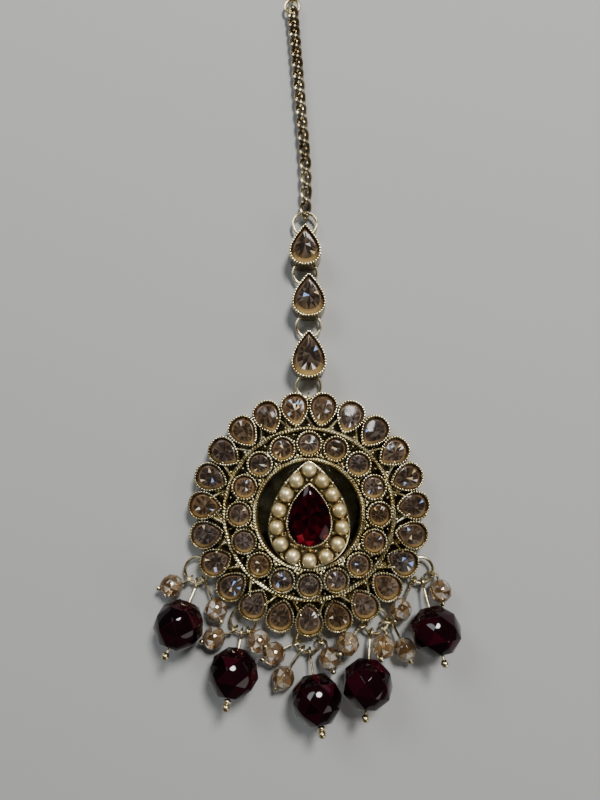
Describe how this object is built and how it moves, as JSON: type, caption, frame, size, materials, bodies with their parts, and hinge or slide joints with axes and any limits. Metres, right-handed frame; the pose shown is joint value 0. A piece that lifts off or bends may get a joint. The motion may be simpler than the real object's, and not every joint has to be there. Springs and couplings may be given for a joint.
{
  "type": "maang tikka",
  "caption": "Round gold-tone pendant of drop-shaped stone settings with a dark red centre stone, bead drops along its lower edge, on three linked settings, a chain and a hook.",
  "frame": {"origin": "under the middle of the whole jewel's box, on the surface that it lies on", "axes": "+Y along the jewel towards the hook, +Z its face, +X to the right of a viewer who looks at the face with the hook up"},
  "size_m": [0.0478, 0.1334, 0.0079],
  "materials": {
    "antique_gold": "antique gold plating, darkened in the hollows",
    "stone_set_gold": "antique gold settings with champagne glass stones fused in",
    "garnet_glass": "polished dark red faceted glass",
    "champagne_glass": "polished champagne faceted glass on gold pins",
    "pearl": "cream imitation pearl, soft lustre"
  },
  "bodies": {
    "root": {"hair_hook": "antique_gold", "hook_ring": "antique_gold", "chain": "antique_gold", "link_ring_1": "antique_gold", "link_ring_2": "antique_gold", "link_ring_3": "antique_gold", "link_ring_4": "antique_gold", "drop_ring_1": "antique_gold", "drop_ring_2": "antique_gold", "drop_ring_3": "antique_gold", "drop_ring_4": "antique_gold", "drop_ring_5": "antique_gold", "red_pin_1": "antique_gold", "red_pin_2": "antique_gold", "red_pin_3": "antique_gold", "red_pin_4": "antique_gold", "red_pin_5": "antique_gold", "pendant_frame": "stone_set_gold", "link_setting_1": "stone_set_gold", "link_setting_2": "stone_set_gold", "link_setting_3": "stone_set_gold", "centre_stone": "garnet_glass", "red_bead_1": "garnet_glass", "red_bead_2": "garnet_glass", "red_bead_3": "garnet_glass", "red_bead_4": "garnet_glass", "red_bead_5": "garnet_glass", "small_drop_01": "champagne_glass", "small_drop_02": "champagne_glass", "small_drop_03": "champagne_glass", "small_drop_04": "champagne_glass", "small_drop_05": "champagne_glass", "small_drop_06": "champagne_glass", "small_drop_07": "champagne_glass", "small_drop_08": "champagne_glass", "small_drop_09": "champagne_glass", "small_drop_10": "champagne_glass", "small_drop_11": "champagne_glass", "small_drop_12": "champagne_glass", "pearl_01": "pearl", "pearl_02": "pearl", "pearl_03": "pearl", "pearl_04": "pearl", "pearl_05": "pearl", "pearl_06": "pearl", "pearl_07": "pearl", "pearl_08": "pearl", "pearl_09": "pearl", "pearl_10": "pearl", "pearl_11": "pearl", "pearl_12": "pearl", "pearl_13": "pearl", "pearl_14": "pearl"}
  },
  "joints": []
}
